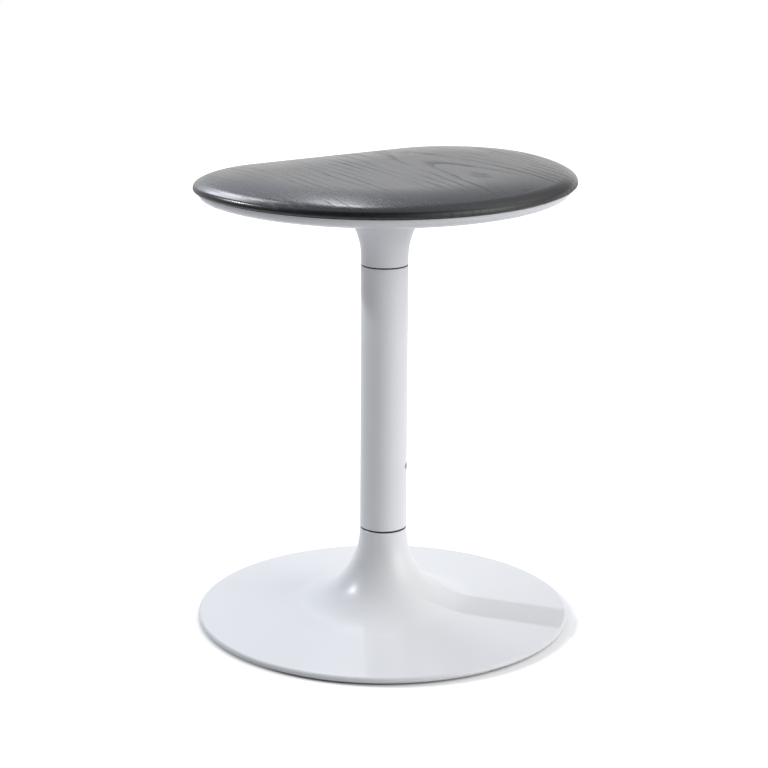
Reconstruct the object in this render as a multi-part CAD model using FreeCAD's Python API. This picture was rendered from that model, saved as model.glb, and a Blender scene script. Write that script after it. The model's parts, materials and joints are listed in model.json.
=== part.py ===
import FreeCAD, Part
import math
import os

V = FreeCAD.Vector
os.makedirs("parts", exist_ok=True)

# A low swivel stool. Millimetres, +Z up. The origin is on the floor, on the swivel axis.
# The seat's straight back edge faces +Y and its round front faces -Y.

# Clearances
body_gap = 0.3          # between the turning seat and the standing column
running = 0.05          # radial running fit of the spindle in its bushes
thread_play = 0.05      # radial play of a screw in its thread
hole_play = 0.5         # radial play of a screw in a through hole

# Column
column_d = 48.0         # outside of the tube, the shell's neck and the base's neck
tube_wall = 2.5
tube_len = 274.4
edge_break = 0.4        # small chamfer at the tube ends and neck ends
plug_in_tube = 27.0
spigot_d = 40.0
spigot_len = 18.3

# Base
base_d = 382.6
base_h = 94.8           # from the rim's underside to the top of the neck
rim_nose_r = 3.2
disc_slope = math.radians(4.8)
flare_r = 80.0          # concave flare from the neck to the disc
base_wall = 5.0
rim_land = 15.3         # width of the flat under the rim, measured from the widest radius
web_top_drop = 16.8     # web below the neck's top
web_t = 12.0
boss_r = 9.0
boss_pcd = 200.0
boss_sink = 4.0         # how far a boss runs up into the disc

# Floor ring
ring_t = 2.0            # height of the ring below the rim
ring_inset = 7.3        # ring set in from the base's widest radius
ring_w = 8.0
tongue_w = 3.0
tongue_h = 2.5

# Joint ring between base and tube
joint_ring_t = 2.0
joint_ring_inset = 0.8

# Ballast plate
ballast_ro = 140.0
ballast_ri = 40.0
ballast_t = 4.0
ballast_rise = 2.0      # underside of the plate above the floor
csk_head_r = 5.0
csk_h = 2.5
ballast_screw_r = 2.5
ballast_screw_len = 10.0

# Tie bolt, its washers and the dowel
tie_r = 6.0
tie_len = 45.0
tie_head_af = 19.0
tie_head_h = 8.0
tie_washer_r = 12.0
tie_lock_r = 10.5
tie_washer_t = 2.5
pin_r = 3.0
pin_len = 13.0
pin_offset = 14.0

# Spindle and bearings
spindle_d = 25.0
collar_d = 36.0
collar_h = 6.0
collar_room = 1.0       # radial room round the collar in the neck
hub_room = 4.5          # from the hub screw's head up to the dish's rim
spindle_tail = 4.0      # spindle below its circlip groove
flange_t = 1.2
flange_inset = 0.8
upper_bush_len = 35.0
lower_bush_len = 30.0
lower_bush_rise = 23.2  # underside of the lower bush above the plug
thrust_t = 2.0
axial_play = 0.4        # end float of the seat
keep_washer_t = 2.0
keep_washer_r = 19.0
clip_t = 1.5
clip_r = 15.5
clip_groove = 0.8       # depth of the circlip groove
key_w = 6.0
key_len = 22.0
key_drop = 6.0          # upper end of the key below the spindle's top
set_r = 4.0
set_len = 8.4
set_recess = 1.0        # outer end of the grub screw below the tube's surface
set_angle = math.radians(-47.0)
set_hex_af = 4.0
set_hex_depth = 4.0

# Seat shell: a D-shaped dish with a soft edge and a trumpet neck
neck_h = 81.1           # from the neck's lower end to the dish's rim
neck_straight = 7.3
neck_flare_r = 68.0     # lower, wide part of the flare; the upper part runs out into the dish
neck_turn = math.radians(45.0)
shell_inset = 5.0       # rim set in from the board's outline
pan_edge_r = 8.0        # small arc under the rim
pan_belly_r = 34.0      # large arc that runs out into the dish's underside
pan_turn = math.radians(60.0)
shell_wall = 4.0
rim_flange = 18.0       # width of the dish's rim
hub_r = 19.0
web_hub_t = 6.0
core_in = 34.0          # hollow round the hub: radius at its floor, half way and at the dish
core_mid = 46.0
core_out = 56.0
core_deep = 17.0
core_half = 8.0
post_r = 10.0
post_front = (92.0, -62.0)
post_back = (70.0, 52.0)
recess_r = 6.5
recess_h = 5.0
seat_screw_r = 3.0
seat_screw_len = 16.0
seat_head_r = 6.0
seat_head_h = 4.0
hub_screw_r = 5.0
hub_screw_len = 38.0
hub_head_r = 8.0
hub_head_h = 10.0
hub_hex_af = 8.0
hub_washer_r = 12.0
hub_washer_t = 2.0
pocket_play = 1.0       # room round the washer in the hub

# Gasket between shell and board
gasket_t = 1.5
gasket_inset = 1.5      # set in from the shell's rim
gasket_w = 7.0

# Seat board: half-round front, two corner arcs and a straight back
seat_front_r = 196.5
seat_corner_r = 108.5
seat_centre_y = 9.5     # line through the centres of the arcs, behind the swivel axis
board_t = 14.7          # at the crown
dome_w = 77.0           # width of the domed margin
under_r = 1.8           # rounding below the widest line
nose_r = 5.5            # rounding above the widest line
nose_turn = math.radians(60.0)
shoulder_r = 31.0       # larger rounding that leads from the nose into the domed margin
insert_r = 5.0
insert_len = 9.0

# Heights, from the floor up
col_r = column_d / 2
base_r = base_d / 2
z_rim = ring_t
z_neck = z_rim + base_h
z_tube = z_neck + joint_ring_t
z_top = z_tube + tube_len
z_flange = z_top + flange_t
z_shell = z_flange + body_gap
z_dish = z_shell + neck_h
z_board = z_dish + gasket_t
z_crown = z_board + board_t
tube_ri = col_r - tube_wall
sp_r = spindle_d / 2
z_thrust = z_flange + thrust_t
z_collar = z_thrust + running
z_hub_seat = z_collar + collar_h
z_hs = z_dish - hub_room - hub_head_h
z_web_hub = z_hs - hub_washer_t
z_sp_top = z_web_hub - web_hub_t
z_plug = z_tube + plug_in_tube
z_lower = z_plug + lower_bush_rise
z_clip_top = z_lower - axial_play - keep_washer_t
z_sp_low = z_clip_top - clip_t - running - spindle_tail
z_set = z_lower + lower_bush_len / 2
z_web_top = z_neck - web_top_drop
z_web_low = z_web_top - web_t


def cyl(r, z0, z1, x=0.0, y=0.0):
    return Part.makeCylinder(r, z1 - z0, V(x, y, z0))


def tube(ro, ri, z0, z1, x=0.0, y=0.0):
    return cyl(ro, z0, z1, x, y).cut(cyl(ri, z0 - 1, z1 + 1, x, y))


def turned(points):
    # solid of revolution about Z from (radius, height) corners
    pts = [V(r, 0, z) for r, z in points]
    face = Part.Face(Part.makePolygon(pts + [pts[0]]))
    return face.revolve(V(0, 0, 0), V(0, 0, 1), 360)


def broken_tube(ro, ri, z0, z1, c):
    # tube whose outer edges carry a small chamfer
    return turned([(ri, z0), (ro - c, z0), (ro, z0 + c), (ro, z1 - c), (ro - c, z1), (ri, z1)])


def hexagon(af, z0, z1):
    r = af / math.sqrt(3)
    pts = [V(r * math.cos(math.radians(60 * k)), r * math.sin(math.radians(60 * k)), z0) for k in range(6)]
    return Part.Face(Part.makePolygon(pts + [pts[0]])).extrude(V(0, 0, z1 - z0))


def fused(shapes):
    out = shapes[0]
    for s in shapes[1:]:
        out = out.fuse(s)
    return out.removeSplitter()


def save(name, shape):
    shape.exportStep("parts/" + name + ".step")


def group(name, shapes):
    Part.makeCompound(shapes).exportStep("parts/" + name + ".step")


def d_wire(inset, z):
    # the seat's outline, offset inward, at one height: front arc, corner arc, back line, corner arc
    rf = seat_front_r - inset
    rc = seat_corner_r - inset
    xk = seat_front_r - seat_corner_r
    cy = seat_centre_y
    k = math.sqrt(0.5)
    left = V(-rf, cy, z)
    right = V(rf, cy, z)
    front = Part.Arc(left, V(0, cy - rf, z), right).toShape()
    east = Part.Arc(right, V(xk + rc * k, cy + rc * k, z), V(xk, cy + rc, z)).toShape()
    back = Part.makeLine(V(xk, cy + rc, z), V(-xk, cy + rc, z))
    west = Part.Arc(V(-xk, cy + rc, z), V(-xk - rc * k, cy + rc * k, z), left).toShape()
    return Part.Wire([front, east, back, west])


def d_body(low, high, path, inset):
    # solid with the seat's outline; its edge follows arcs through (inset, z) corners and midpoints
    # the outline is arcs and a line, so the edge is turned about three axes and drawn along the back
    def section(radius, centre, outward):
        def at(step, z):
            return centre + outward * (radius - step) + V(0, 0, z)

        rim = [Part.makeLine(centre + V(0, 0, low), at(*path[0]))]
        for k in range(0, len(path) - 2, 2):
            rim.append(Part.Arc(at(*path[k]), at(*path[k + 1]), at(*path[k + 2])).toShape())
        rim.append(Part.makeLine(at(*path[-1]), centre + V(0, 0, high)))
        rim.append(Part.makeLine(centre + V(0, 0, high), centre + V(0, 0, low)))
        return Part.Face(Part.Wire(rim))

    knee = V(seat_front_r - seat_corner_r, 0, 0)
    mid = V(0, seat_centre_y, 0)
    up = V(0, 0, 1)
    rc = seat_corner_r - inset
    front = section(seat_front_r - inset, mid, V(-1, 0, 0)).revolve(mid, up, 180)
    east = section(rc, mid + knee, V(1, 0, 0)).revolve(mid + knee, up, 90)
    west = section(rc, mid - knee, V(0, 1, 0)).revolve(mid - knee, up, 90)
    back = section(rc, mid - knee, V(0, 1, 0)).extrude(knee * 2)
    return fused([front, east, back, west])


def arc_point(centre, radius, turn):
    # point of a section arc; turn runs from the outermost point, positive upward
    return (centre[0] - radius * math.cos(turn), centre[1] + radius * math.sin(turn))


# Seat board. The margin is domed, rolls over a shoulder to a small nose and is rounded below.
nose_z = z_board + under_r
under_c = (under_r, nose_z)
nose_c = (nose_r, nose_z)
reach = shoulder_r - nose_r
shoulder_c = (nose_r + reach * math.cos(nose_turn), nose_z - reach * math.sin(nose_turn))
over = z_crown - shoulder_c[1]
span = dome_w - shoulder_c[0]
dome_r = (span * span + over * over - shoulder_r ** 2) / (2 * (over - shoulder_r))
dome_c = (dome_w, z_crown - dome_r)
lean = math.atan2(shoulder_c[1] - dome_c[1], span)
half = (lean + math.pi / 2) / 2
board = d_body(z_board, z_crown, [
    (under_r, z_board), arc_point(under_c, under_r, -math.pi / 4), (0.0, nose_z),
    arc_point(nose_c, nose_r, nose_turn / 2), arc_point(nose_c, nose_r, nose_turn),
    arc_point(shoulder_c, shoulder_r, (nose_turn + lean) / 2), arc_point(shoulder_c, shoulder_r, lean),
    arc_point(dome_c, dome_r, half), (dome_w, z_crown),
], 0.0)
posts = [(s * x, y) for x, y in (post_front, post_back) for s in (1, -1)]
pan_h = pan_edge_r * math.sin(pan_turn) + pan_belly_r * (1 - math.sin(pan_turn))
z_pan = z_dish - pan_h
z_head = z_pan + recess_h
z_screw_tip = z_head + seat_screw_len
for x, y in posts:
    board = board.cut(cyl(insert_r, z_board - 1, z_board + insert_len, x, y))
    board = board.cut(cyl(seat_screw_r + hole_play, z_board - 1, z_screw_tip + hole_play, x, y))
save("seat_board", board)
group("seat_inserts", [
    tube(insert_r, seat_screw_r + thread_play, z_board, z_board + insert_len, x, y) for x, y in posts
])

# Gasket: a thin D-shaped ring on the dish's rim
g_out = Part.Face(d_wire(shell_inset + gasket_inset, z_dish))
g_in = Part.Face(d_wire(shell_inset + gasket_inset + gasket_w, z_dish))
save("seat_gasket", g_out.cut(g_in).extrude(V(0, 0, gasket_t)))

# Seat shell: dish, trumpet neck, hub, screw posts
edge_c = (pan_edge_r, z_dish)
bend = arc_point(edge_c, pan_edge_r, -pan_turn)
belly_c = (bend[0] + pan_belly_r * math.cos(pan_turn), bend[1] + pan_belly_r * math.sin(pan_turn))
dish = d_body(z_pan, z_dish, [
    (belly_c[0], z_pan), arc_point(belly_c, pan_belly_r, -(pan_turn + math.pi / 2) / 2), bend,
    arc_point(edge_c, pan_edge_r, -pan_turn / 2), (0.0, z_dish),
], shell_inset)
z_floor = z_pan + shell_wall
dish = dish.cut(Part.Face(d_wire(shell_inset + rim_flange, z_floor)).extrude(V(0, 0, z_board - z_floor)))
z_flare = z_shell + neck_straight
flare_out = neck_flare_r * math.sin(neck_turn)
run_out_r = (z_pan - z_flare - flare_out) / (1 - math.sin(neck_turn))
lower_c = V(col_r + neck_flare_r, 0, z_flare)
join = lower_c + V(-neck_flare_r * math.cos(neck_turn), 0, flare_out)
upper_c = join + V(run_out_r * math.cos(neck_turn), 0, -run_out_r * math.sin(neck_turn))
m1 = neck_turn / 2
m2 = (neck_turn + math.pi / 2) / 2
neck_pts = [
    V(0, 0, z_shell), V(col_r - edge_break, 0, z_shell),
    V(col_r, 0, z_shell + edge_break), V(col_r, 0, z_flare),
]
neck = [Part.makeLine(neck_pts[k], neck_pts[k + 1]) for k in range(3)]
lower_mid = lower_c + V(-neck_flare_r * math.cos(m1), 0, neck_flare_r * math.sin(m1))
neck.append(Part.Arc(neck_pts[3], lower_mid, join).toShape())
run_end = V(upper_c.x, 0, z_pan)
upper_mid = upper_c + V(-run_out_r * math.cos(m2), 0, run_out_r * math.sin(m2))
neck.append(Part.Arc(join, upper_mid, run_end).toShape())
flat_end = V(upper_c.x, 0, z_pan + shell_wall / 2)
neck.append(Part.makeLine(run_end, flat_end))
neck.append(Part.makeLine(flat_end, V(0, 0, z_pan + shell_wall / 2)))
neck.append(Part.makeLine(V(0, 0, z_pan + shell_wall / 2), neck_pts[0]))
trumpet = Part.Face(Part.Wire(neck)).revolve(V(0, 0, 0), V(0, 0, 1), 360)
shell = dish.fuse(trumpet).removeSplitter()
z_core = z_floor - core_deep
shell = shell.cut(turned([
    (hub_r, z_floor + 1), (hub_r, z_core), (core_in, z_core),
    (core_mid, z_floor - core_half), (core_out, z_floor + 1),
]))
for x, y in posts:
    shell = shell.fuse(cyl(post_r, z_floor - shell_wall / 2, z_board, x, y))
shell = shell.cut(cyl(hub_washer_r + pocket_play, z_web_hub, z_floor + 1))
shell = shell.cut(cyl(collar_d / 2 + collar_room, z_shell - 1, z_hub_seat))
shell = shell.cut(cyl(sp_r, z_shell - 1, z_sp_top))
shell = shell.cut(cyl(hub_screw_r + hole_play, z_sp_top - 1, z_web_hub + 1))
z_key = z_sp_top - key_drop
key_x = sp_r + key_w / 2
shell = shell.cut(Part.makeBox(key_x, key_w, z_key - z_hub_seat, V(0, -key_w / 2, z_hub_seat)))
for x, y in posts:
    shell = shell.cut(cyl(recess_r, z_pan - 1, z_head, x, y))
    shell = shell.cut(cyl(seat_screw_r + hole_play, z_head - 1, z_board + 1, x, y))
save("seat_shell", shell)


def pan_screw(x, y):
    head = cyl(seat_head_r, z_head - seat_head_h, z_head, x, y)
    head = head.makeFillet(1.5, [e for e in head.Edges if e.BoundBox.ZMax < z_head - seat_head_h + 0.01])
    shank = cyl(seat_screw_r, z_head - 1, z_head + seat_screw_len, x, y)
    socket = hexagon(seat_screw_r * 1.33, z_head - seat_head_h - 1, z_head - 1.5)
    socket.translate(V(x, y, 0))
    return head.fuse(shank).removeSplitter().cut(socket)


group("seat_screws", [pan_screw(x, y) for x, y in posts])

# Spindle: a turned shaft with a collar, a keyway, a circlip groove and a tapped upper end
groove = tube(sp_r + 1, sp_r - clip_groove, z_clip_top - clip_t - running, z_clip_top)
spindle = turned([
    (0, z_sp_low), (sp_r - 1, z_sp_low), (sp_r, z_sp_low + 1), (sp_r, z_collar), (collar_d / 2, z_collar),
    (collar_d / 2, z_hub_seat), (sp_r, z_hub_seat), (sp_r, z_sp_top), (0, z_sp_top),
])
spindle = spindle.cut(groove)
spindle = spindle.cut(cyl(hub_screw_r + thread_play, z_hs - hub_screw_len - 3, z_sp_top + 1))
key_box = Part.makeBox(key_w, key_w, key_len, V(key_x - key_w, -key_w / 2, z_key - key_len))
spindle = spindle.cut(key_box)
save("spindle", spindle)
save("spindle_key", key_box)

# Screw and washer that draw the spindle up into the hub
hub_screw = cyl(hub_head_r, z_hs, z_hs + hub_head_h)
z_hs_top = z_hs + hub_head_h
hub_screw = hub_screw.makeChamfer(0.8, [e for e in hub_screw.Edges if e.BoundBox.ZMin > z_hs_top - 0.01])
hub_screw = hub_screw.fuse(cyl(hub_screw_r, z_hs - hub_screw_len, z_hs + 1)).removeSplitter()
hub_screw = hub_screw.cut(hexagon(hub_hex_af, z_hs + hub_head_h / 2, z_hs + hub_head_h + 1))
save("spindle_screw", hub_screw)
save("spindle_washer", tube(hub_washer_r, hub_screw_r + hole_play, z_web_hub, z_hs))

# Retaining washer and circlip at the spindle's lower end
save("retaining_washer", tube(keep_washer_r, sp_r + running, z_clip_top, z_clip_top + keep_washer_t))
clip = tube(clip_r, sp_r - clip_groove, z_clip_top - clip_t, z_clip_top)
save("circlip", clip.cut(Part.makeBox(clip_r + 1, 7, clip_t + 2, V(0, -3.5, z_clip_top - clip_t - 1))))

# Bearings in the column
bush_ri = sp_r + running
flange = tube(col_r - flange_inset, bush_ri, z_top, z_flange)
sleeve = tube(tube_ri, bush_ri, z_top - upper_bush_len, z_top)
save("upper_bush", flange.fuse(sleeve).removeSplitter())
save("thrust_washer", tube(collar_d / 2, sp_r + body_gap, z_flange, z_thrust))

# Grub screw that holds the lower bush, set across the column
set_out = col_r - set_recess
set_dir = V(math.cos(set_angle), math.sin(set_angle), 0)


def across(r, inner, outer_end):
    return Part.makeCylinder(r, outer_end - inner, set_dir * inner + V(0, 0, z_set), set_dir)


set_hole = across(set_r + thread_play, set_out - set_len - 0.3, col_r + 2)
lower_bush = tube(tube_ri, bush_ri, z_lower, z_lower + lower_bush_len)
save("lower_bush", lower_bush.cut(set_hole))
grub = cyl(set_r, 0, set_len)
grub = grub.makeChamfer(0.5, [e for e in grub.Edges if e.Curve.TypeId == "Part::GeomCircle"])
grub = grub.cut(hexagon(set_hex_af, set_len - set_hex_depth, set_len + 1))
grub.Placement = FreeCAD.Placement(set_dir * (set_out - set_len) + V(0, 0, z_set),
                                   FreeCAD.Rotation(V(0, 0, 1), set_dir))
save("set_screw", grub)

# Column tube, plug and joint ring
save("column_tube", broken_tube(col_r, tube_ri, z_tube, z_top, edge_break).cut(set_hole))
sp_ro = spigot_d / 2
z_spigot = z_tube - spigot_len
plug = turned([
    (0, z_spigot), (sp_ro - 1, z_spigot), (sp_ro, z_spigot + 1), (sp_ro, z_tube), (tube_ri, z_tube),
    (tube_ri, z_plug - 1), (tube_ri - 1, z_plug), (0, z_plug),
])
z_tie = z_web_low - 2 * tie_washer_t
plug = plug.cut(cyl(tie_r + thread_play, z_spigot - 1, z_tie + tie_len + 3))
z_pin = z_spigot + pin_len / 2
pin_hole = cyl(pin_r, z_pin - pin_len, z_pin, 0, pin_offset)
save("column_plug", plug.cut(pin_hole))
save("locating_pin", pin_hole)
save("joint_ring", tube(col_r - joint_ring_inset, sp_ro, z_neck, z_tube))

# Base: a trumpet with a rounded rim, hollow below, with a web for the tie bolt
sin_s = math.sin(disc_slope)
cos_s = math.cos(disc_slope)
tan_s = math.tan(disc_slope)
nose = V(base_r - rim_nose_r, 0, z_rim + rim_nose_r)
nose_top = nose + V(rim_nose_r * sin_s, 0, rim_nose_r * cos_s)
flare_end_r = col_r + flare_r * (1 - sin_s)
flare_end_z = nose_top.z + (nose_top.x - flare_end_r) * tan_s
flare_c = V(col_r + flare_r, 0, flare_end_z + flare_r * cos_s)
land_r = base_r - rim_land
in_r = flare_r + base_wall
web_turn = math.asin((flare_c.z - z_web_low) / in_r)
mid_turn = (web_turn + math.pi / 2 - disc_slope) / 2


def on_flare(radius, turn):
    return flare_c + V(-radius * math.cos(turn), 0, -radius * math.sin(turn))


in_end = on_flare(in_r, math.pi / 2 - disc_slope)
land_z = in_end.z - (land_r - in_end.x) * tan_s
corners = [
    V(sp_ro, 0, z_neck), V(col_r - edge_break, 0, z_neck),
    V(col_r, 0, z_neck - edge_break), V(col_r, 0, flare_c.z),
]
edges = [Part.makeLine(corners[k], corners[k + 1]) for k in range(3)]
flare_end = V(flare_end_r, 0, flare_end_z)
edges.append(Part.Arc(corners[3], on_flare(flare_r, math.pi / 4), flare_end).toShape())
edges.append(Part.makeLine(flare_end, nose_top))
nose_low = V(nose.x, 0, z_rim)
edges.append(Part.Arc(nose_top, nose + V(rim_nose_r, 0, 0), nose_low).toShape())
land = V(land_r, 0, z_rim)
land_in = V(land_r, 0, land_z)
edges.append(Part.makeLine(nose_low, land))
edges.append(Part.makeLine(land, land_in))
edges.append(Part.makeLine(land_in, in_end))
in_web = on_flare(in_r, web_turn)
edges.append(Part.Arc(in_end, on_flare(in_r, mid_turn), in_web).toShape())
hole_r = tie_r + hole_play
stops = [in_web, V(hole_r, 0, z_web_low), V(hole_r, 0, z_web_top), V(sp_ro, 0, z_web_top), corners[0]]
edges += [Part.makeLine(stops[k], stops[k + 1]) for k in range(4)]
base = Part.Face(Part.Wire(edges)).revolve(V(0, 0, 0), V(0, 0, 1), 360)
z_plate = ballast_rise + ballast_t
boss_at = [(boss_pcd / 2 * math.cos(a), boss_pcd / 2 * math.sin(a)) for a in
           [math.radians(45 + 90 * k) for k in range(4)]]
disc_in = in_end.z - (boss_pcd / 2 - in_end.x) * tan_s
for x, y in boss_at:
    base = base.fuse(cyl(boss_r, z_plate, disc_in + boss_sink / 2, x, y))
tap_r = ballast_screw_r + thread_play
for x, y in boss_at:
    base = base.cut(cyl(tap_r, z_plate - 1, ballast_rise + ballast_screw_len + 0.4, x, y))
tongue_mid = base_r - ring_inset - ring_w / 2
tongue_o = tongue_mid + tongue_w / 2
tongue_i = tongue_mid - tongue_w / 2
base = base.cut(tube(tongue_o, tongue_i, z_rim - 1, z_rim + tongue_h))
base = base.cut(pin_hole)
save("base", base)

# Floor ring: a flat ring with a tongue that sits in the groove under the rim
ring_o = base_r - ring_inset
floor_ring = turned([
    (ring_o - ring_w, 0), (ring_o - 0.4, 0), (ring_o, 0.4), (ring_o, z_rim), (tongue_o, z_rim),
    (tongue_o, z_rim + tongue_h), (tongue_i, z_rim + tongue_h), (tongue_i, z_rim), (ring_o - ring_w, z_rim),
])
save("floor_ring", floor_ring)

# Tie bolt with its washers
bolt = hexagon(tie_head_af, z_tie - tie_head_h, z_tie).fuse(cyl(tie_r, z_tie - 1, z_tie + tie_len))
save("tie_bolt", bolt.removeSplitter())
lock = tube(tie_lock_r, tie_r + hole_play / 2, z_tie, z_tie + tie_washer_t)
save("tie_lock_washer", lock.cut(Part.makeBox(tie_lock_r + 1, 1.6, tie_washer_t + 2, V(0, -0.8, z_tie - 1))))
save("tie_washer", tube(tie_washer_r, tie_r + hole_play, z_tie + tie_washer_t, z_web_low))

# Ballast plate and its countersunk screws
plate = tube(ballast_ro, ballast_ri, ballast_rise, z_plate)
screws = []
for x, y in boss_at:
    cone = Part.makeCone(csk_head_r, ballast_screw_r, csk_h, V(x, y, ballast_rise))
    plate = plate.cut(cone).cut(cyl(ballast_screw_r + hole_play / 2, ballast_rise, z_plate + 1, x, y))
    shank = cyl(ballast_screw_r, ballast_rise + csk_h / 2, ballast_rise + ballast_screw_len, x, y)
    drive = hexagon(ballast_screw_r * 1.2, ballast_rise - 1, ballast_rise + csk_h * 0.7)
    drive.translate(V(x, y, 0))
    screws.append(cone.fuse(shank).removeSplitter().cut(drive))
save("ballast_plate", plate)
group("ballast_screws", screws)
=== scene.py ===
import bpy
import json
import math
from mathutils import Matrix, Vector

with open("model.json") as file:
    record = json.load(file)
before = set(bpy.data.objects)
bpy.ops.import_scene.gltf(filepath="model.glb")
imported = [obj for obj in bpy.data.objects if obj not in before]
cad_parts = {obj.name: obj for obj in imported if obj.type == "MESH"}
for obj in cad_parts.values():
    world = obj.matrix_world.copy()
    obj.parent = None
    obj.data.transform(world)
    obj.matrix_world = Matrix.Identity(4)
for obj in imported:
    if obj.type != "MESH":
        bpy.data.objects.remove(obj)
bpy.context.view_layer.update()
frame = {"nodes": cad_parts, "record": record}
scene = bpy.context.scene

# Camera, in degrees, metres and pixels of a 768 pixel frame
CAM_AZIMUTH = -33.3
CAM_ELEVATION = 15.68
CAM_DISTANCE = 2.3167
CAM_TARGET = Vector((0.0, 0.0, 0.2492))
CAM_ROLL = 0.335
CAM_FOCAL_PX = 2282.5
FRAME_PX = 768
SENSOR_MM = 36.0
CLIP_END = 50.0

WHITE = (1.0, 1.0, 1.0)

turn = math.radians(CAM_AZIMUTH)
away = Vector((-math.sin(turn), math.cos(turn), 0.0))
right = Vector((away.y, -away.x, 0.0))
up = Vector((0.0, 0.0, 1.0))


def toward(azimuth, elevation):
    # unit vector; azimuth 0 points away from the camera and 90 to its right
    a = math.radians(azimuth)
    e = math.radians(elevation)
    level = away * math.cos(a) + right * math.sin(a)
    return level * math.cos(e) + up * math.sin(e)


class Graph:
    # short ways to add and link shader nodes

    def __init__(self, tree):
        self.tree = tree

    def put(self, socket, value):
        if isinstance(value, bpy.types.NodeSocket):
            self.tree.links.new(value, socket)
        else:
            socket.default_value = value

    def add(self, kind, **inputs):
        node = self.tree.nodes.new(kind)
        for name, value in inputs.items():
            self.put(node.inputs[name], value)
        return node

    def math(self, op, a, b=0.0, c=None, clamp=False):
        node = self.tree.nodes.new("ShaderNodeMath")
        node.operation = op
        node.use_clamp = clamp
        self.put(node.inputs[0], a)
        self.put(node.inputs[1], b)
        if c is not None:
            self.put(node.inputs[2], c)
        return node.outputs[0]

    def scale_add(self, value, factor, offset):
        # value times factor, plus offset
        return self.math("MULTIPLY_ADD", value, factor, offset)

    def vector(self, op, a, b=(0.0, 0.0, 0.0)):
        node = self.tree.nodes.new("ShaderNodeVectorMath")
        node.operation = op
        self.put(node.inputs[0], a)
        self.put(node.inputs[1], b)
        scalar = op in ("DOT_PRODUCT", "LENGTH")
        return node.outputs["Value" if scalar else "Vector"]

    def noise(self, where, scale, detail):
        node = self.add("ShaderNodeTexNoise", Vector=where, Scale=scale,
                        Detail=detail, Roughness=0.5)
        return node.outputs["Fac"]

    def grain(self, where, across, along, detail):
        # noise drawn out along the board's y axis
        drawn = self.vector("MULTIPLY", where, (across, along, across))
        return self.noise(drawn, 1.0, detail)

    def step(self, value, low, high, start=0.0, end=1.0):
        # smooth step from start to end while value goes from low to high
        node = self.tree.nodes.new("ShaderNodeMapRange")
        node.interpolation_type = "SMOOTHSTEP"
        for k, v in enumerate((value, low, high, start, end)):
            self.put(node.inputs[k], v)
        return node.outputs[0]

    def mix(self, fac, a, b):
        node = self.tree.nodes.new("ShaderNodeMix")
        node.data_type = "RGBA"
        self.put(node.inputs["Factor"], fac)
        self.put(node.inputs["A"], (*a, 1.0))
        self.put(node.inputs["B"], (*b, 1.0))
        return node.outputs["Result"]

    def upward(self):
        # 1 where the surface faces up, 0 where it is upright, -1 where it faces down
        normal = self.add("ShaderNodeTexCoord").outputs["Normal"]
        return self.add("ShaderNodeSeparateXYZ", Vector=normal).outputs["Z"]


def material(name, metallic=0.0, ior=1.5):
    m = bpy.data.materials.new(name)
    m.use_nodes = True
    g = Graph(m.node_tree)
    shader = m.node_tree.nodes["Principled BSDF"]
    shader.inputs["Metallic"].default_value = metallic
    shader.inputs["IOR"].default_value = ior
    where = g.add("ShaderNodeTexCoord").outputs["Object"]
    return m, g, shader, where


def bump(g, shader, height, depth, strength):
    node = g.add("ShaderNodeBump", Height=height, Distance=depth, Strength=strength)
    g.put(shader.inputs["Normal"], node.outputs["Normal"])


# Growth rings of the board, in metres: the pith lies below the top and slants along the grain
RING_WIDTH = 0.0105
RING_RIPPLE = 0.7
PITH_X = 0.058
PITH_SWAY = 0.05
PITH_SLANT = 0.13
PITH_BELOW = 0.040
BOARD_TOP = 0.471

# A streak above the limit is a pore, and early wood lowers the limit
PORE_LIMIT = 0.64
PORE_EARLY_DROP = 0.16
PORE_EDGE = 0.09

# Stained wood: colours, what darkens them, what adds roughness, and heights of the bump
ASH_IOR = 1.55
ASH_DARK = (0.003, 0.003, 0.0034)
ASH_LIGHT = (0.018, 0.018, 0.0195)
EARLY_DARKER = 0.6
PORE_DARKER = 0.8
ASH_ROUGH = 0.19
EARLY_ROUGH = 0.11
PORE_ROUGH = 0.09
FIBRE_ROUGH = 0.05
EDGE_ROUGH = 0.18
FIBRE_HEIGHT = 0.3
EARLY_HOLLOW = 0.5


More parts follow.
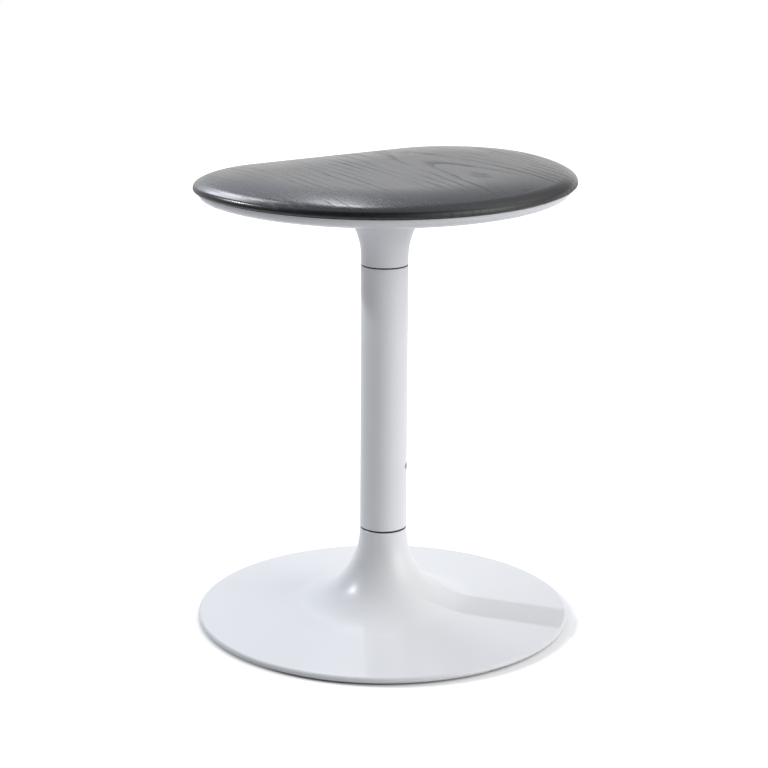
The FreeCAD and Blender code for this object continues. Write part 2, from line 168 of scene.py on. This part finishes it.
def stained_ash():
    # rings round a slanted pith, fine pores along the grain and a duller sanded edge
    m, g, shader, where = material("stained_ash", ior=ASH_IOR)
    sway = g.grain(where, across=7.0, along=2.0, detail=2.0)
    ripple = g.grain(where, across=70.0, along=11.0, detail=3.0)
    patch = g.grain(where, across=30.0, along=7.0, detail=2.0)
    fade = g.step(patch, low=0.34, high=0.66)
    axis = g.add("ShaderNodeSeparateXYZ", Vector=where)
    shift = g.scale_add(sway, PITH_SWAY, -PITH_X - PITH_SWAY / 2)
    x = g.math("ADD", axis.outputs["X"], shift)
    rise = g.scale_add(axis.outputs["Y"], PITH_SLANT, PITH_BELOW - BOARD_TOP)
    depth = g.math("ADD", rise, axis.outputs["Z"])
    square = g.math("ADD", g.math("MULTIPLY", x, x), g.math("MULTIPLY", depth, depth))
    far = g.math("MULTIPLY", g.math("SQRT", square), 1 / RING_WIDTH)
    phase = g.math("FRACT", g.scale_add(ripple, RING_RIPPLE, far))

    # early wood at the start of each ring has more pores, and both are dark and dull
    onset = g.step(phase, low=0.0, high=0.06)
    decline = g.step(phase, low=0.08, high=0.50, start=1.0, end=0.0)
    early = g.math("MULTIPLY", g.math("MULTIPLY", onset, decline), fade)
    streak = g.grain(where, across=1700.0, along=34.0, detail=1.0)
    fibre = g.grain(where, across=420.0, along=12.0, detail=4.0)
    limit = g.scale_add(early, -PORE_EARLY_DROP, PORE_LIMIT)
    pore = g.step(streak, limit, g.math("ADD", limit, PORE_EDGE))
    light = g.math("MULTIPLY", fibre, g.scale_add(early, -EARLY_DARKER, 1.0))
    tone = g.math("MULTIPLY", light, g.scale_add(pore, -PORE_DARKER, 1.0), clamp=True)
    g.put(shader.inputs["Base Color"], g.mix(tone, ASH_DARK, ASH_LIGHT))

    rough = g.scale_add(pore, PORE_ROUGH, g.scale_add(early, EARLY_ROUGH, ASH_ROUGH))
    rough = g.scale_add(fibre, FIBRE_ROUGH, rough)
    sanded = g.step(g.upward(), low=0.30, high=0.80, start=EDGE_ROUGH, end=0.0)
    g.put(shader.inputs["Roughness"], g.math("ADD", rough, sanded))
    hollow = g.scale_add(early, EARLY_HOLLOW, pore)
    height = g.math("SUBTRACT", g.math("MULTIPLY", fibre, FIBRE_HEIGHT), hollow)
    bump(g, shader, height, depth=0.00005, strength=0.07)
    return m


# White paint: colours and what adds roughness
PAINT_DARK = (0.785, 0.79, 0.80)
PAINT_LIGHT = (0.81, 0.815, 0.825)
PAINT_ROUGH = 0.26
PEEL_ROUGH = 0.03
CLOUD_ROUGH = 0.06
FILLET_ROUGH = 0.24


def white_paint():
    # satin powder coat with a fine orange peel, duller on slopes such as the base's fillet
    m, g, shader, where = material("white_paint")
    cloud = g.noise(where, scale=18.0, detail=3.0)
    peel = g.noise(where, scale=650.0, detail=2.0)
    g.put(shader.inputs["Base Color"], g.mix(cloud, PAINT_DARK, PAINT_LIGHT))
    facing = g.upward()
    slope = g.step(facing, low=0.70, high=0.82, start=0.0, end=FILLET_ROUGH)
    level = g.step(facing, low=0.94, high=0.99, start=1.0, end=0.0)
    fillet = g.math("MULTIPLY", slope, level)
    rough = g.scale_add(cloud, CLOUD_ROUGH, g.scale_add(peel, PEEL_ROUGH, PAINT_ROUGH))
    g.put(shader.inputs["Roughness"], g.math("ADD", rough, fillet))
    bump(g, shader, peel, depth=0.00008, strength=0.08)
    return m


GRAIN_ROUGH = 0.15


def dark_moulding(name, low, high, rough, grain):
    # matte black plastic or rubber with a fine grain
    m, g, shader, where = material(name)
    fine = g.noise(where, scale=grain, detail=3.0)
    g.put(shader.inputs["Base Color"], g.mix(fine, low, high))
    g.put(shader.inputs["Roughness"], g.scale_add(fine, GRAIN_ROUGH, rough))
    bump(g, shader, fine, depth=0.00010, strength=0.3)
    return m


MARK_SHARE = 0.6
MARK_ROUGH = 0.15
STAIN_ROUGH = 0.12


def metal(name, low, high, rough, marks):
    # bare or plated metal with fine tool marks or mill grain
    m, g, shader, where = material(name, metallic=1.0)
    mark = g.noise(g.vector("MULTIPLY", where, marks), scale=1.0, detail=3.0)
    stain = g.noise(where, scale=60.0, detail=3.0)
    tone = g.scale_add(mark, MARK_SHARE, g.math("MULTIPLY", stain, 1 - MARK_SHARE))
    g.put(shader.inputs["Base Color"], g.mix(tone, low, high))
    rough = g.scale_add(mark, MARK_ROUGH, g.scale_add(stain, STAIN_ROUGH, rough))
    g.put(shader.inputs["Roughness"], rough)
    bump(g, shader, mark, depth=0.00003, strength=0.3)
    return m


# Dark tone, light tone, roughness and grains per metre
MOULDINGS = {
    "black_plastic": ((0.014, 0.014, 0.015), (0.028, 0.028, 0.030), 0.40, 500.0),
    "black_rubber": ((0.016, 0.016, 0.017), (0.034, 0.034, 0.036), 0.62, 350.0),
}
# Dark tone, light tone, roughness and marks per metre along each axis
METALS = {
    "turned_steel": ((0.48, 0.48, 0.49), (0.62, 0.62, 0.63), 0.18, (60.0, 60.0, 2500.0)),
    "zinc_steel": ((0.56, 0.57, 0.59), (0.70, 0.71, 0.73), 0.24, (700.0, 700.0, 700.0)),
    "spring_steel": ((0.44, 0.44, 0.45), (0.58, 0.58, 0.59), 0.34, (500.0, 500.0, 500.0)),
    "raw_plate": ((0.22, 0.22, 0.23), (0.36, 0.36, 0.37), 0.42, (40.0, 400.0, 400.0)),
    "bronze": ((0.52, 0.36, 0.17), (0.66, 0.48, 0.24), 0.36, (900.0, 900.0, 900.0)),
    "brass": ((0.66, 0.50, 0.22), (0.78, 0.62, 0.32), 0.22, (60.0, 60.0, 2500.0)),
}
finishes = {"stained_ash": stained_ash(), "white_paint": white_paint()}
for slot, look in MOULDINGS.items():
    finishes[slot] = dark_moulding(slot, *look)
for slot, look in METALS.items():
    finishes[slot] = metal(slot, *look)

for sub in frame["record"]["subparts"]:
    node = frame["nodes"][sub["node"]]
    node.data.materials.clear()
    node.data.materials.append(finishes[sub["material_slot"]])

# Floor: pale, and plain white where the camera sees it, by a glow set by radius, with painted
# shade at the rim and a painted shadow beside it
FLOOR_HALF = 4.0
FLOOR_Z = -0.0003
FLOOR_TONE = (0.57, 0.57, 0.58, 1.0)
GLOSS_SHARE = 0.6
# Where the white begins: centre, inner and outer radius, strength. The first two begin
# at the rim, the second further out on the side away from the key lamp: painted shade at the
# rim and a painted shadow of the rim past it
WHITE_RINGS_PAINTED_SHADOW = (
    (toward(-60.0, 0.0) * 0.003, 0.185, 0.194, 0.39),
    (toward(100.0, 0.0) * 0.012, 0.189, 0.194, 0.22),
    (Vector((0.0, 0.0, 0.0)), 0.23, 0.60, 0.40),
)
floor_mesh = bpy.data.meshes.new("floor")
signs = ((-1, -1), (1, -1), (1, 1), (-1, 1))
corners = [(sx * FLOOR_HALF, sy * FLOOR_HALF, FLOOR_Z) for sx, sy in signs]
floor_mesh.from_pydata(corners, [], [(0, 1, 2, 3)])
floor = bpy.data.objects.new("floor", floor_mesh)
scene.collection.objects.link(floor)
floor_mat = bpy.data.materials.new("floor")
floor_mat.use_nodes = True
floor_nodes = floor_mat.node_tree.nodes
floor_nodes.remove(floor_nodes["Principled BSDF"])
fg = Graph(floor_mat.node_tree)
sight = fg.add("ShaderNodeLightPath").outputs
seen = fg.math("MAXIMUM", sight["Is Camera Ray"], sight["Is Transmission Ray"])
gloss = fg.math("MULTIPLY", sight["Is Glossy Ray"], GLOSS_SHARE)
seen = fg.math("MAXIMUM", seen, gloss)
place = fg.add("ShaderNodeTexCoord").outputs["Object"]
# glow strength by radius, left out near the rim and further out on the side away from the key
# lamp: painted shade and a painted shadow on the floor
shine_painted_shadow = 0.0
for centre, inner, outer, strength in WHITE_RINGS_PAINTED_SHADOW:
    radius = fg.vector("LENGTH", fg.vector("SUBTRACT", place, tuple(centre)))
    shine_painted_shadow = fg.math("ADD", fg.step(radius, inner, outer, 0.0, strength), shine_painted_shadow)
shine_painted_shadow = fg.math("MULTIPLY", seen, shine_painted_shadow)
glow = fg.add("ShaderNodeEmission", Color=(*WHITE, 1.0), Strength=shine_painted_shadow)
dull = fg.add("ShaderNodeBsdfDiffuse", Color=FLOOR_TONE)
both = fg.add("ShaderNodeAddShader")
fg.put(both.inputs[0], glow.outputs[0])
fg.put(both.inputs[1], dull.outputs[0])
fg.put(floor_nodes["Material Output"].inputs["Surface"], both.outputs[0])
floor_mesh.materials.append(floor_mat)

# World: a white backdrop for camera, transmission and low glossy rays, and soft light
# from behind and both sides, a little cool from above and the left
ROOM_LEVEL = 0.04
COOL_TINT = (0.84, 0.88, 1.0)
# Soft lights: azimuth, elevation, sharpness and strength
LOBES = (
    (-14.0, 12.0, 12.0, 0.80),
    (-55.0, 12.0, 12.0, 0.15),
    (-27.0, 22.0, 60.0, 1.90),
    (-60.0, 52.0, 14.0, 0.95),
    (0.0, 60.0, 8.0, 0.30),
    (55.0, 50.0, 10.0, 1.10),
    (116.0, 20.0, 9.5, 4.15),
)
world = bpy.data.worlds.new("studio")
scene.world = world
world.use_nodes = True
wg = Graph(world.node_tree)
ray = wg.add("ShaderNodeTexCoord").outputs["Generated"]


def along(direction):
    # cosine of the angle between the ray and a direction
    return wg.vector("DOT_PRODUCT", ray, tuple(direction))


level = ROOM_LEVEL
for azimuth, elevation, sharp, strength in LOBES:
    nearness = wg.scale_add(along(toward(azimuth, elevation)), sharp, -sharp)
    spread = wg.math("EXPONENT", nearness)
    level = wg.math("ADD", wg.math("MULTIPLY", spread, strength), level)
height = wg.add("ShaderNodeSeparateXYZ", Vector=ray).outputs["Z"]
behind = wg.step(along(away), low=0.0, high=0.6)
low_down = wg.step(height, low=0.21, high=0.28, start=1.0, end=0.0)
screen = wg.math("MULTIPLY", behind, low_down)
sight = wg.add("ShaderNodeLightPath").outputs
plain = wg.math("MAXIMUM", sight["Is Camera Ray"], sight["Is Transmission Ray"])
plain = wg.math("MAXIMUM", plain, wg.math("MULTIPLY", sight["Is Glossy Ray"], screen))
lit = wg.math("SUBTRACT", 1.0, plain)
backdrop = world.node_tree.nodes["Background"]
wg.put(backdrop.inputs["Strength"], wg.scale_add(level, lit, plain))
cool = wg.math("MULTIPLY", wg.step(height, low=0.10, high=0.32), lit)
leftward = wg.step(along(right), low=-0.2, high=0.5, start=1.0, end=0.0)
cool = wg.math("MULTIPLY", cool, leftward)
wg.put(backdrop.inputs["Color"], wg.mix(cool, WHITE, COOL_TINT))

# Lamps: name, azimuth, elevation, distance, width, height, power and height of the aim
LAMP_TINT = (0.92, 0.955, 1.0)
LAMPS = (
    ("strip", -30.0, 39.0, 2.4, 0.84, 0.58, 9.5, 0.28),
    ("key", -80.0, 39.0, 2.2, 0.06, 0.13, 17.5, 0.28),
    ("back", -4.5, 38.0, 2.2, 0.12, 0.80, 2.4, 0.46),
)
for name, azimuth, elevation, distance, wide, high, power, aim_z in LAMPS:
    data = bpy.data.lights.new(name, "AREA")
    data.shape = "RECTANGLE"
    data.size = wide
    data.size_y = high
    data.energy = power
    data.color = LAMP_TINT
    lamp = bpy.data.objects.new(name, data)
    scene.collection.objects.link(lamp)
    aim = Vector((0.0, 0.0, aim_z))
    lamp.location = aim + toward(azimuth, elevation) * distance
    lamp.rotation_euler = (lamp.location - aim).to_track_quat("Z", "Y").to_euler()

# Camera
cam_data = bpy.data.cameras.new("camera")
cam_data.sensor_width = SENSOR_MM
cam_data.lens = SENSOR_MM * CAM_FOCAL_PX / FRAME_PX
cam_data.clip_end = CLIP_END
camera = bpy.data.objects.new("camera", cam_data)
scene.collection.objects.link(camera)
from_target = toward(180.0, CAM_ELEVATION)
roll = Matrix.Rotation(math.radians(CAM_ROLL), 3, "Z")
aimed = from_target.to_track_quat("Z", "Y").to_matrix() @ roll
spot = CAM_TARGET + from_target * CAM_DISTANCE
camera.matrix_world = Matrix.Translation(spot) @ aimed.to_4x4()
scene.camera = camera
scene.view_settings.view_transform = "Standard"
